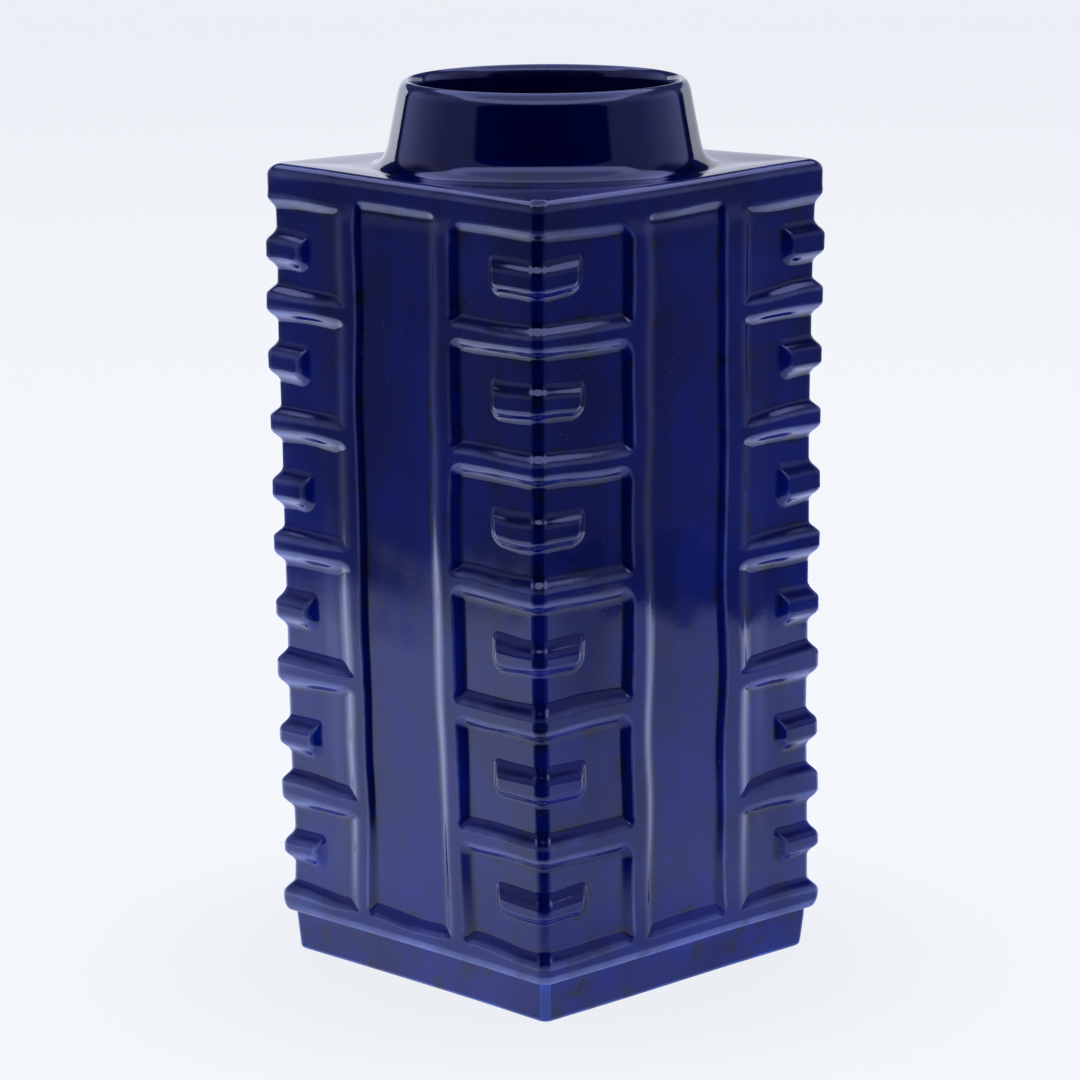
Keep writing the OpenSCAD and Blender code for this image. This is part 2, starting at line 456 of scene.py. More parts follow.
def glazeSkinGroup():
    # the glaze's own surface: slow runs downwards and a fine orange peel
    group, take, give = newGroup(
        "glazeSkin",
        {"Runs": 1.0, "Peel": 1.0, "Smooth": 0.05, "Dull": 0.12},
        {"Height": "NodeSocketFloat", "Roughness": "NodeSocketFloat"},
    )
    place = objectPlace(group)
    runs = times(group, noise(group, place, *pattern["runs"]), take["Runs"])
    peel = times(group, noise(group, place, *pattern["peel"]), take["Peel"])
    group.links.new(plus(group, runs, peel), give["Height"])
    share = mapRange(group, noise(group, place, *pattern["smears"]), *pattern["smearSpan"])
    extra = times(group, share, minus(group, take["Dull"], take["Smooth"]))
    group.links.new(plus(group, take["Smooth"], extra), give["Roughness"])
    return group


glazeColour = glazeColourGroup()
glazePinholes = pinholeGroup()
glazeSkin = glazeSkinGroup()

# values for the inputs of the groups, for each glaze
glazes = {
    "blueGlaze": {
        "colour": {
            "Deep": (0.0035, 0.0205, 0.275),
            # the thin colour stands for thin glaze and also for painted highlight lines on crests and
            # painted light on slopes that face up
            "Thin And Lit": (0.16, 0.2, 0.5),
            "Stain": (0.016, 0.016, 0.012),
            "Cloud": 0.28,
            "Streak": 1.0,
            "Stain Amount": 0.6,
            "Stain Spread": 0.32,
        },
        "crowd": 0.51,
        "skin": {"Runs": 0.9, "Peel": 0.22, "Smooth": 0.045, "Dull": 0.085},
    },
    # the neck's glaze is the body's blue with a darker deep colour, painted shade on the neck
    "neckGlazeInShade": {
        "colour": {
            "Deep": (0.0028, 0.016, 0.225),
            "Thin And Lit": (0.16, 0.2, 0.5),
            "Stain": (0.016, 0.016, 0.012),
            "Cloud": 0.12,
            "Streak": 0.6,
            "Stain Amount": 0.2,
            "Stain Spread": 0.3,
        },
        "crowd": 0.51,
        "skin": {"Runs": 0.7, "Peel": 0.2, "Smooth": 0.045, "Dull": 0.08},
    },
    # the foot's glaze has a slightly darker deep colour, painted shade near the floor; its bare clay and
    # rusty line are its own
    "footGlaze": {
        "colour": {
            "Deep": (0.003, 0.016, 0.25),
            "Thin And Lit": (0.05, 0.12, 0.5),
            "Stain": (0.02, 0.02, 0.016),
            "Cloud": 0.42,
            "Streak": 0.15,
            "Stain Amount": 0.75,
            "Stain Spread": 0.8,
        },
        "crowd": 0.47,
        "skin": {"Runs": 0.9, "Peel": 0.3, "Smooth": 0.06, "Dull": 0.13},
    },
    "innerGlaze": {
        "colour": {
            "Deep": (0.003, 0.012, 0.25),
            "Thin And Lit": (0.006, 0.024, 0.32),
            "Stain": (0.014, 0.014, 0.01),
            "Cloud": 0.22,
            "Streak": 1.0,
            "Stain Amount": 0.4,
            "Stain Spread": 0.1,
        },
        "crowd": 0.5,
        "skin": {"Runs": 1.2, "Peel": 0.3, "Smooth": 0.06, "Dull": 0.12},
    },
}
speckColour = (0.075, 0.085, 0.18)
clay = {"colour": (0.62, 0.55, 0.46), "rust": (0.3, 0.17, 0.09), "rough": 0.75}
glazeIor = 1.53
glazeBump = {"Strength": 0.5, "Distance": 0.00007}


def glaze(name, bareFoot=False):
    values = glazes[name]
    material, tree, surface = newMaterial(name)
    shader = addNode(tree, "ShaderNodeBsdfPrincipled")
    tree.links.new(shader.outputs["BSDF"], surface)
    masks = {"Thinning And Light": meshMask(tree, "edge"), "Pool And Shade": meshMask(tree, "poolAndShade")}
    colour = useGroup(tree, glazeColour, {**values["colour"], **masks})
    holes = useGroup(tree, glazePinholes, {**pattern["holes"], "Crowd": values["crowd"]})
    skinLook = useGroup(tree, glazeSkin, values["skin"])
    base = mixColour(tree, holes["Mask"], colour["Color"], speckColour)
    rough = skinLook["Roughness"]
    if bareFoot:
        # the foot's resting edge is wiped clean of glaze, with a rusty line where the glaze stops
        bare = meshMask(tree, "bare")
        grain = noise(tree, objectPlace(tree), *pattern["grain"])
        ring = mapRange(tree, bare, *pattern["rustSpan"])
        whole = mapRange(tree, bare, *pattern["claySpan"])
        sandy = mixColour(tree, grain, clay["rust"], clay["colour"])
        bodyClay = mixColour(tree, whole, sandy, clay["colour"])
        base = mixColour(tree, ring, base, bodyClay)
        rise = times(tree, minus(tree, clay["rough"], rough), ring)
        rough = plus(tree, rough, rise)
    tree.links.new(base, shader.inputs["Base Color"])
    tree.links.new(rough, shader.inputs["Roughness"])
    shader.inputs["IOR"].default_value = glazeIor
    bump = addNode(tree, "ShaderNodeBump")
    for key, value in glazeBump.items():
        bump.inputs[key].default_value = value
    tree.links.new(skinLook["Height"], bump.inputs["Height"])
    tree.links.new(bump.outputs["Normal"], shader.inputs["Normal"])
    return material


blueGlaze = glaze("blueGlaze")
neckGlazeInShade = glaze("neckGlazeInShade")
footGlaze = glaze("footGlaze", bareFoot=True)
innerGlaze = glaze("innerGlaze")
print("glazes mixed")

# relief of the walls: distances along a wall from its middle, and heights
relief = {
    "raised": 2.5,
    "topDrop": 0.9,
    "topDropSpan": (237.0, 246.5),
    "leanFade": (58.0, 40.0),
    # the long strip
    "stripDepth": 1.5,
    "stripDeepen": 0.4,
    "stripDeepenSpan": (60.0, 20.0),
    "stripTop": 246.4,
    "stripFoot": 18.8,
    "stripTopRound": 0.875,
    "stripFootRound": 0.5,
    "stripTopSlope": 4.4,
    "stripFootSlope": 5.4,
    # the registers, a little shallower at their inner ends than at the corners
    "panelTop": [244.9, 209.7, 171.1, 132.5, 93.1, 53.1],
    "panelFoot": [212.3, 173.7, 135.3, 95.9, 56.1, 19.1],
    "panelTopSlope": 4.9,
    "panelFootSlope": [4.0, 4.0, 4.3, 4.8, 4.8, 4.8],
    "panelTopCorner": 5.6,
    "panelFootCorner": 2.6,
    "panelShare": 0.8,
    "panelShareSpan": (26.0, 56.0),
    "gentle": 0.4,
    "gentleEase": 0.15,
    "gentleEaseSpan": (0.8, 2.0),
    "nearSpread": [1.0, 1.0, 1.0, 1.0, 1.05, 1.1],
    "topSoft": 0.48,
    "footSoft": 0.33,
    "softBlend": (-0.3, 0.3),
    "riseInner": 0.3,
    "riseSpan": (25.0, 56.0),
    "growSpan": (34.0, 56.0),
    # the border at the foot of the wall
    "borderLow": 13.3,
    "borderHigh": 17.6,
    "borderLedge": 0.42,
    "edgeWander": 0.32,
    "faceWander": 0.09,
    "skinWander": 0.012,
    "faceSpan": (13.3, 20.0),
}
# the strip's two crests and the inner crests of the registers, on each wall
reliefSides = {
    "front": {
        "strip": (-20.7, 18.1),
        "slope": (2.8, 7.6),
        "soft": (0.33, 0.45),
        "panel": (-23.3, 20.6),
        "panelSlope": (8.2, 5.2),
        "panelSoft": (0.45, 0.33),
        "lean": ([20.0, 60.0, 95.0, 160.0, 240.0], [1.7, 1.2, 0.0, -0.7, -0.2]),
    },
    "right": {
        "strip": (-19.7, 17.9),
        "slope": (7.6, 3.6),
        "soft": (0.45, 0.33),
        "panel": (-22.8, 23.0),
        "panelSlope": (3.9, 8.2),
        "panelSoft": (0.33, 0.45),
        "lean": ([20.0, 130.0, 240.0], [0.0, -0.8, -1.2]),
    },
    "back": {
        "strip": (-18.6, 18.4),
        "slope": (3.6, 6.0),
        "soft": (0.36, 0.44),
        "panel": (-22.9, 22.2),
        "panelSlope": (6.6, 4.6),
        "panelSoft": (0.42, 0.36),
        "lean": ([20.0, 110.0, 240.0], [0.5, -0.3, 0.4]),
    },
    "left": {
        "strip": (-18.9, 18.6),
        "slope": (6.2, 3.4),
        "soft": (0.45, 0.36),
        "panel": (-22.4, 22.9),
        "panelSlope": (4.4, 6.8),
        "panelSoft": (0.36, 0.42),
        "lean": ([20.0, 120.0, 240.0], [-0.4, 0.5, -0.3]),
    },
}
# how far each corner's ridges and bars sit above (+) or below their level
cornerRise = {
    "front_right": {
        "ridge": [0.0, 0.0, 0.0, 0.0, 0.0, 0.0],
        "bar": [0.0, 0.0, 0.0, 0.0, 0.0, 0.0],
    },
    "back_right": {
        "ridge": [0.0, 1.6, 1.6, 0.6, 1.0, 0.3],
        "bar": [0.0, 1.3, 0.6, -0.3, -1.3, 0.0],
    },
    "back_left": {
        "ridge": [0.3, 0.6, -0.5, 0.4, -0.7, 0.5],
        "bar": [0.5, -0.6, 0.8, 0.2, -0.9, 0.4],
    },
    "front_left": {
        "ridge": [-0.8, 0.0, 0.0, -0.6, -1.5, -1.5],
        "bar": [-1.9, -0.3, -1.6, -1.6, -3.0, -1.6],
    },
}
# how much thicker the ridges and bars get at each corner, upwards and downwards
cornerGrow = {
    "front_right": (0.0, 0.0),
    "back_right": (0.1, 1.3),
    "back_left": (0.6, 0.6),
    "front_left": (1.1, 0.4),
}
# corners that warped in drying and firing: millimetres moved along way, at each height
warps = [
    {
        "corner": (1.0, -1.0),
        "way": (-0.7071, -0.7071),
        "height": [0.0, 15.0, 40.0, 75.0, 110.0, 235.0, 254.0],
        "move": [1.3, 1.3, 1.5, 2.0, 2.5, 2.4, 1.8],
    },
    {
        "corner": (-1.0, -1.0),
        "way": (-0.7071, -0.7071),
        "height": [0, 14, 24, 43, 60, 81, 101, 120, 140, 161, 179, 200, 220, 238, 246, 254],
        "move": [0.6, 0.9, 0.1, -0.3, 0.3, 0.4, 0.8, 1.0, 0.75, 0.55, 0.8, 1.0, 0.4, 0.4, 1.0, 0.8],
    },
    {
        "corner": (1.0, 1.0),
        "way": (0.7071, 0.7071),
        "height": [0, 14, 24, 44, 62, 81, 103, 122, 142, 161, 181, 200, 221, 238, 246, 254],
        "move": [1.4, 1.8, 1.7, 1.6, 1.4, 0.5, 0.7, 0.7, 0.8, 0.0, 0.1, 0.4, 0.4, 0.7, 0.8, 0.7],
    },
]
warpSpread = 26.0
warpBlur = (-8, -4, 0, 4, 8)
# how far the shoulder's corners curl up (+) or sag
curls = [((1.0, -1.0), -0.35), ((1.0, 1.0), 1.25), ((-1.0, 1.0), 0.9), ((-1.0, -1.0), 0.85)]
curlSpread = 40.0
curlSpan = (238.0, 251.0)
# how finely the walls are meshed
wallMesh = {
    "columns": [(0.0, 10.0, 1.6), (10.0, 33.0, 0.5), (33.0, flatEnd, 1.2)],
    "cornerSteps": (6, 9),
    "border": [13.3, 13.38, 13.5, 13.7, 13.95, 14.25, 14.6, 15.0, 15.5, 16.0],
    "ridges": [54.6, 94.5, 133.9, 172.4, 211.0],
    "ridgeZone": 11.0,
    "footZone": (16.0, 30.0),
    "topZone": (236.0, 248.0),
    "fine": 0.5,
    "coarse": 1.5,
}


def columnSet(flat, stretchSteps, arcSteps):
    # columns of a wall from flat's first place to the right mitre
    flatAt = np.concatenate([flat, np.full(stretchSteps + arcSteps, flatEnd)])
    steps = np.arange(1, stretchSteps + 1) / stretchSteps
    stretch = np.concatenate([np.zeros(len(flat)), steps, np.ones(arcSteps)])
    arc = np.arange(1, arcSteps + 1) / arcSteps * (math.pi / 4)
    return flatAt, stretch, np.concatenate([np.zeros(len(flat) + stretchSteps), arc])


def wallColumns():
    parts = [spaced(*part) for part in wallMesh["columns"]]
    flat = np.concatenate(parts[:1] + [part[1:] for part in parts[1:]])
    half = columnSet(flat, *wallMesh["cornerSteps"])
    count = len(half[0])
    columns = [np.concatenate([-np.ones(count - 1), np.ones(count)])]
    columns += [np.concatenate([v[:0:-1], v]) for v in half]
    return [v[None, :] for v in columns]


def wallReach(columns, half, radius):
    _, flatAt, stretch, _ = columns
    return flatAt + stretch * (half - radius - flatAt)


def alongWall(columns, half, radius):
    # distance along the wall from its middle, and on over the arc of the corner
    return columns[0] * (wallReach(columns, half, radius) + radius * columns[3])


def sidePoints(columns, z, half, radius, out, quarter):
    # one side of a rounded square, pushed out square to its edge and turned to its place
    sign, _, stretch, arc = columns
    x = sign * (wallReach(columns, half, radius) + stretch * out + radius * np.sin(arc))
    y = -(half - radius + radius * np.cos(arc) + out)
    return turned(np.stack([x, y, np.broadcast_to(z, x.shape)], axis=-1), quarter)


def bySide(s, pair):
    # the first value left of the wall's middle, the second right of it
    return np.where(s > 0, pair[1], pair[0])


def wallOut(side, s, z, place):
    # how far the wall stands out from its ground at a place on it
    marks = reliefSides[side]
    far = np.abs(s)
    level = relief["raised"] - relief["topDrop"] * smooth(*relief["topDropSpan"], z)
    s2 = s + relief["edgeWander"] * ripple(place, *waves["edgeAlong"])
    s2 = s2 - np.interp(z, *marks["lean"]) * smooth(*relief["leanFade"], far)
    z2 = z + relief["edgeWander"] * ripple(place, *waves["edgeUp"])
    uLow = (s2 - marks["strip"][0]) / marks["slope"][0]
    uHigh = (marks["strip"][1] - s2) / marks["slope"][1]
    uTop = (relief["stripTop"] - z2) / relief["stripTopSlope"]
    uFoot = (z2 - relief["stripFoot"]) / relief["stripFootSlope"]
    ends = ((uTop, relief["stripTopRound"]), (uFoot, relief["stripFootRound"]))
    m = np.minimum.reduce([cornered(u, end, r) for u in (uLow, uHigh) for end, r in ends])
    depth = relief["stripDepth"]
    depth = depth + (level - depth) * smooth(*relief["stripDeepenSpan"], z) * relief["stripDeepen"]
    soft = bySide(s, marks["soft"])
    out = level - np.minimum(depth, level) * ogee(m, soft, soft)

    run = bySide(s, marks["panelSlope"])
    soft = bySide(s, marks["panelSoft"])
    gentle = soft > relief["gentle"]
    inside = np.where(s > 0, s2 - marks["panel"][1], marks["panel"][0] - s2)
    share = relief["panelShare"] + (1.0 - relief["panelShare"]) * smooth(*relief["panelShareSpan"], far)
    ease = relief["gentleEase"] * gentle
    share = share - ease * (1.0 - smooth(*relief["gentleEaseSpan"], inside / run))
    q = sides.index(side)
    here, there = corners[q], corners[q - 1]
    away = relief["riseInner"] + (1.0 - relief["riseInner"]) * smooth(*relief["riseSpan"], far)
    ridges = zip(cornerRise[there]["ridge"], cornerRise[here]["ridge"])
    rise = [away * bySide(s, pair) for pair in ridges]
    grown = smooth(*relief["growSpan"], far)
    growUp, growDown = [grown * bySide(s, pair) for pair in zip(cornerGrow[there], cornerGrow[here])]
    for k, (panelTop, panelFoot) in enumerate(zip(relief["panelTop"], relief["panelFoot"])):
        spread = run * np.where(gentle, 1.0, relief["nearSpread"][k])
        topRise = rise[k] - (growDown if k > 0 else 0.0)
        footRise = rise[k + 1] + growUp if k + 1 < len(rise) else 0.0
        uIn = inside / spread
        uTop = (panelTop + topRise - z2) / relief["panelTopSlope"]
        uFoot = (z2 - panelFoot - footRise) / relief["panelFootSlope"][k]
        m = np.minimum(
            cornered(uIn, uTop, relief["panelTopCorner"] / spread),
            cornered(uIn, uFoot, relief["panelFootCorner"] / spread),
        )
        byTop = smooth(*relief["softBlend"], np.minimum(uIn, uFoot) - uTop)
        byFoot = smooth(*relief["softBlend"], np.minimum(uIn, uTop) - uFoot)
        bent = soft + (relief["topSoft"] - soft) * byTop
        bent = bent + (relief["footSoft"] - bent) * byFoot
        out = out - level * share * ogee(m, bent, bent)

    t = np.clip((z - relief["borderLow"]) / (relief["borderHigh"] - relief["borderLow"]), 0.0, 1.0)
    out = out - level * (1.0 - relief["borderLedge"]) * (1.0 - np.sqrt(1.0 - (1.0 - t) ** 2))
    face = relief["faceWander"] * ripple(place, *waves["face"])
    face = face + relief["skinWander"] * ripple(place, *waves["skin"])
    return out + face * smooth(*relief["faceSpan"], z)


def nearness(points, x, y, spread):
    away = np.hypot(points[..., 0] - x, points[..., 1] - y)
    return np.exp(-((away / spread) ** 2))


def warped(points):
    # the warp of the corners, fading along both walls
    moved = points.copy()
    z = points[..., 2]
    for warp in warps:
        x, y = warp["corner"]
        push = sum(np.interp(z + step, warp["height"], warp["move"]) for step in warpBlur)
        push = push / len(warpBlur) * nearness(points, x * cornerAt, y * cornerAt, warpSpread)
        moved[..., 0] += push * warp["way"][0]
        moved[..., 1] += push * warp["way"][1]
    for (x, y), lift in curls:
        near = nearness(points, x * cornerAt, y * cornerAt, curlSpread)
        moved[..., 2] += lift * near * smooth(*curlSpan, z)
    return moved


def wallLevels():
    zone = wallMesh["ridgeZone"]
    fineZones = [wallMesh["footZone"]]
    fineZones += [(r - zone, r + zone) for r in wallMesh["ridges"]]
    fineZones += [wallMesh["topZone"]]
    marks = list(wallMesh["border"])
    for low, high in fineZones:
        if low > marks[-1]:
            marks += list(spaced(marks[-1], low, wallMesh["coarse"])[1:])
        marks += list(spaced(low, high, wallMesh["fine"])[1:])
    return np.array(marks)


shoulder = {
    "start": 249.8,
    "rise": 3.6,
    "run": 3.5,
    "rows": 18,
    "bandRows": 4,
    "leastRadius": 0.12,
    "flatRows": 13,
    "flatten": (0.0, 0.62),
    "dip": 0.06,
    "dipSpan": (0.0, 0.35),
    "hole": 41.0,
}


def buildSkin():
    # the whole outer skin in one grid, so that normals run on over every seam
    columns = wallColumns()
    levels = wallLevels()
    seam = len(levels) - 1
    band = np.linspace(body["wallTop"], shoulder["start"], shoulder["bandRows"])[1:]
    levels = np.concatenate([levels, band])
    arc = np.linspace(0.0, math.pi / 2, shoulder["rows"])[1:]
    z = np.concatenate([levels, shoulder["start"] + shoulder["rise"] * np.sin(arc)])
    inset = np.concatenate([np.zeros(len(levels)), shoulder["run"] * (1.0 - np.cos(arc))])
    zz = np.repeat(z[:, None], columns[0].shape[1], axis=1)
    held = np.minimum(zz, shoulder["start"])
    half = groundHalf(zz)
    radius = body["cornerRadius"]
    s = alongWall(columns, half, radius)
    rounds = []
    grounds = []
    for q, side in enumerate(sides):
        place = sidePoints(columns, zz, half, radius, 0.0, q)
        out = wallOut(side, s, held, place) - inset[:, None]
        out = np.maximum(out, shoulder["leastRadius"] - radius)
        rounds.append(sidePoints(columns, zz, half, radius, out, q)[:, :-1])
        grounds.append(place[:, :-1])
    arcs = np.tile(columns[3][0, :-1], 4)
    return warped(np.concatenate(rounds, axis=1)), np.concatenate(grounds, axis=1), arcs, seam


skin, ground, skinArc, seamRow = buildSkin()
perSide = skin.shape[1] // 4
print("skin laid out,", skin.shape[0], "rows of", skin.shape[1])


def topRows(edgeLoop):
    # the flat shoulder from its rounded edge to the round hole
    angle = np.arctan2(edgeLoop[:, 1], edgeLoop[:, 0])
    hole = np.stack([np.cos(angle), np.sin(angle)], axis=-1) * shoulder["hole"]
    loops = []
    for f in np.linspace(0.0, 1.0, shoulder["flatRows"])[1:]:
        xy = edgeLoop[:, :2] * (1.0 - f) + hole * f
        left = 1.0 - smooth(*shoulder["flatten"], f)
        z = body["shoulder"] + (edgeLoop[:, 2:] - body["shoulder"]) * left
        place = np.concatenate([xy, z], axis=1)
        sag = shoulder["dip"] * ripple(place, *waves["shoulder"])
        place[:, 2] += sag * smooth(*shoulder["dipSpan"], f)
        loops.append(place)
    return np.array(loops)


# where the glaze thins and gathers, and where light and shade are painted on it
runOff = {
    "bend": 0.3,
    # painted light from above: slopes that face up are paler and pool less
    "facing": 0.34,
    "facingSpan": (0.28, 0.6),
    "litPoolLoss": 0.85,
    "litPoolLossSpan": (0.04, 0.3),
    # painted shade on steep upright slopes and the arris
    "steepSpan": (0.4, 0.6),
    "steepShade": 0.45,
    "steepShadeEdgeCut": 0.5,
    "borderEdgeSheen": 0.95,
    "borderSpans": ((13.3, 14.2), (17.0, 15.4)),
    # corners where the glaze is paler all over
    "paleCorners": [((-cornerAt, -cornerAt), 0.14), ((-cornerAt, cornerAt), 0.09)],
    "paleSpread": 22.0,
    "softenRounds": 4,
}


def paledNearCorners(points):
    spread = runOff["paleSpread"]
    return sum(amount * nearness(points, *at, spread) for at, amount in runOff["paleCorners"])


def masksFrom(bend, facing=None, steep=None):
    # the glaze runs off crests and gathers in hollows; slopes that face up are painted paler and pool
    # less, as painted light from above
    edge = bend / runOff["bend"]
    poolAndShade = -bend / runOff["bend"]
    if facing is not None:
        edge = edge + runOff["facing"] * smooth(*runOff["facingSpan"], facing)
        poolAndShade = poolAndShade * (1.0 - runOff["litPoolLoss"] * smooth(*runOff["litPoolLossSpan"], facing))
    if steep is not None:
        # painted shade: steep upright slopes and the arris get the deep colour and lose the pale one
        upright = smooth(*runOff["steepSpan"], steep)
        poolAndShade = np.clip(poolAndShade, 0.0, 1.0) + runOff["steepShade"] * upright
        edge = edge - runOff["steepShadeEdgeCut"] * upright
    return {"edge": np.clip(edge, 0.0, 1.0), "poolAndShade": np.clip(poolAndShade, 0.0, 1.0)}


flatTop = topRows(skin[-1])
wholeSkin = np.concatenate([skin, flatTop])
skinNormals = gridNormals(wholeSkin, True)
skinNormals[: len(skin)] = calmArris(skinNormals[: len(skin)], skinArc[None, :])
skinBend = gridBend(wholeSkin, skinNormals, True, np.where(skinArc > 0, arris["bend"], 1.0))
skinBend = soften(skinBend, True, runOff["softenRounds"]) + paledNearCorners(wholeSkin)


def cutSide(grid, q):
    return grid[:, (np.arange(perSide + 1) + q * perSide) % grid.shape[1]]


def buildWalls():
    inner = ground[[seamRow, 0]].copy()
    inner[..., :2] *= (1.0 - body["wallThick"] / groundHalf(inner[..., 2]))[..., None]
    rows = np.concatenate([skin[: seamRow + 1], inner])
    # painted shade along the arris
    onArris = arris["steep"] * smooth(*arris["span"], skinArc[None, :])
    for q, side in enumerate(sides):
        grid = cutSide(rows, q)
        normals = cutSide(padded(skinNormals[: seamRow + 1], 2), q)
        bend = cutSide(padded(skinBend[: seamRow + 1], 2), q)
        along = turned(np.array([[1.0, 0.0, 0.0]]), q)[0]
        steep = np.abs(normals @ along) * (np.abs(grid @ along) < flatEnd)
        masks = masksFrom(bend, normals[..., 2], np.maximum(steep, cutSide(onArris, q)))
        # the border's lower edge: a pale line, partly thinner glaze and partly a painted highlight
        lower, upper = runOff["borderSpans"]
        rim = smooth(*lower, grid[..., 2]) * smooth(*upper, grid[..., 2])
        masks["edge"] = np.maximum(masks["edge"], runOff["borderEdgeSheen"] * rim)
        masks["poolAndShade"] = masks["poolAndShade"] * (1.0 - rim)
        r, c = grid.shape[:2]
        layPiece(
            "wall_" + side,
            grid,
            gridFaces(r, c, True, False),
            endCaps(r, c),
            normals,
            masks,
            seamRow * (c - 1),
            blueGlaze,
        )


buildWalls()
print("walls pressed")

# short bars luted over the corners, one for each register
bars = {
    "middle": [229.4, 192.2, 153.2, 114.4, 74.8, 36.7],
    "height": [13.4, 13.4, 13.8, 13.2, 13.4, 12.0],
    "upperSlope": [5.3, 5.3, 5.5, 6.0, 6.0, 5.8],
    "lowerSlope": 4.9,
    "endSlope": 5.2,
    "soft": (0.56, 0.38),
    "topCorner": 2.8,
    "footCorner": 6.2,
    "proud": 2.5,
    "sink": 0.03,
    "embed": 0.6,
    "wander": 0.25,
    "growUp": 0.3,
    "growDown": 0.6,
    # reach along the two walls of each corner, from the sharp corner of the ground
    "reach": {
        "front_right": (22.0, 18.6),
        "back_right": (18.6, 18.6),
        "back_left": (18.6, 18.8),
        "front_left": (18.4, 18.2),
    },
    "margin": 0.4,
    "rowStep": 0.42,
    "columnStep": 0.45,
    "cornerSteps": (14, 9),
    # shares of the thinning on crests and the pooling in hollows, and what the arris takes from both
    "crestShare": 0.35,
    "hollowShare": 0.7,
    "arrisLoss": 0.9,
    "softenRounds": 3,
}


def buildBar(q, k):
    corner = corners[q]
    growUp, growDown = cornerGrow[corner]
    mid = bars["middle"][k] + cornerRise[corner]["bar"][k]
    high = mid + bars["height"][k] / 2 + bars["growUp"] * growUp
    low = mid - bars["height"][k] / 2 - bars["growDown"] * growDown
    z = spaced(low - bars["margin"], high + bars["margin"], bars["rowStep"])
    radius = body["cornerRadius"]
    wave, seed = waves["bar"]
    tops = []
    unders = []
    arcs = []
    for hand, reach in enumerate(bars["reach"][corner]):
        end = groundHalf(mid) - reach
        flat = spaced(end - bars["margin"], flatEnd, bars["columnStep"])
        columns = columnSet(flat, *bars["cornerSteps"])
        columns = [np.ones(len(columns[0])), *columns]
        keep = slice(0, None)
        if hand == 1:
            columns = [-columns[0]] + [v[::-1] for v in columns[1:]]
            keep = slice(1, None)
        columns = [v[None, :] for v in columns]
        zz = np.repeat(z[:, None], columns[0].shape[1], axis=1)
        half = groundHalf(zz)
        s = alongWall(columns, half, radius)
        place = sidePoints(columns, zz, half, radius, 0.0, q + hand)
        wander = bars["wander"] * ripple(place, wave, seed + k)
        out = wallOut(sides[(q + hand) % 4], s, zz, place)
        uEnd = (np.abs(s) + wander - end) / bars["endSlope"]
        uTop = (high - zz - wander) / bars["upperSlope"][k]
        uFoot = (zz - low + wander) / bars["lowerSlope"]
        m = np.minimum(
            cornered(uEnd, uTop, bars["topCorner"] / bars["endSlope"]),
            cornered(uEnd, uFoot, bars["footCorner"] / bars["endSlope"]),
        )
        lift = bars["proud"] * ogee(m, *bars["soft"]) - bars["sink"]
        tops.append(sidePoints(columns, zz, half, radius, out + lift, q + hand)[:, keep])
        unders.append(sidePoints(columns, zz, half, radius, out - bars["embed"], q + hand)[:, keep])
        arcs.append(columns[3][:, keep])
    top = warped(np.concatenate(tops, axis=1))
    under = warped(np.concatenate(unders, axis=1))
    arc = np.concatenate(arcs, axis=1)
    rows, cols = top.shape[:2]
    normals = calmArris(gridNormals(top, False), arc)
    bend = gridBend(top, normals, False)
    sideways = gridBend(np.swapaxes(top, 0, 1), np.swapaxes(normals, 0, 1), False).T
    bend = soften(bend + sideways, False, bars["softenRounds"])
    onArris = np.repeat(smooth(*arris["span"], arc), rows, axis=0)
    share = np.where(bend > 0.0, bars["crestShare"], bars["hollowShare"])
    bend = share * bend * (1.0 - bars["arrisLoss"] * onArris) + paledNearCorners(top)
    # painted shade along the bars' arris
    steep = arris["steep"] * onArris
    masks = masksFrom(padded(bend, rows), padded(normals[..., 2], rows), padded(steep, rows))
    quads = gridFaces(rows, cols, False, False)
    shift = rows * cols
    below = gridFaces(rows, cols, False, False, shift)[:, ::-1]
    index = np.arange(shift).reshape(rows, cols)
    rim = np.concatenate([index[0], index[1:, -1], index[-1, -2::-1], index[-2:0:-1, 0]])
    nextRim = np.roll(rim, -1)
    band = np.stack([rim, rim + shift, nextRim + shift, nextRim], axis=-1)
    layPiece(
        "applied_bar_" + corner + "_" + str(k + 1),
        np.concatenate([top, under]),
        np.concatenate([quads, below, band]),
        [],
        np.concatenate([normals, -normals]),
        masks,
        len(quads),
        blueGlaze,
    )


for q in range(len(corners)):
    for k in range(len(bars["middle"])):
        buildBar(q, k)
print("applied bars luted on")


def buildShoulder():
    under = flatTop[-1:].copy()
    under[..., 2] = body["wallTop"]
    grid = np.concatenate([wholeSkin[seamRow:], under])
    r, c = grid.shape[:2]
    layPiece(
        "shoulder_slab",
        grid,
        gridFaces(r, c, True, True),
        [],
        padded(skinNormals[seamRow:], 1),
        masksFrom(padded(skinBend[seamRow:], 1)),
        (r - 2) * c,
        blueGlaze,
    )


buildShoulder()
print("shoulder laid")

# thrown neck and the coil smoothed in around its foot
neck = {
    "baseRadius": 49.9,
    "bore": 41.0,
    "lipTopRadius": 42.75,
    "lipOuter": (3.1, 6.6),
    "lipInner": (1.75, 4.2),
    "columns": 288,
    "coneRows": 30,
    "lipRows": (16, 12),
    "boreRows": 16,
    "throwing": 0.006,
    "throwingTurn": (1.9, 0.6),
    "throwingFrom": (6.0, 12.0),
    "outOfRound": 0.12,
    "bendShare": 0.4,
    "runOff": 0.8,
    "runOffDown": (5.5, 1.0),
    "coilRows": 26,
    "filletUp": 7.0,
    "filletOut": 5.4,
    "filletLap": 0.5,
    "lapSink": 0.03,
    "lapEase": 0.3,
    "coilBack": 1.2,
    "coilUnder": 0.4,
}


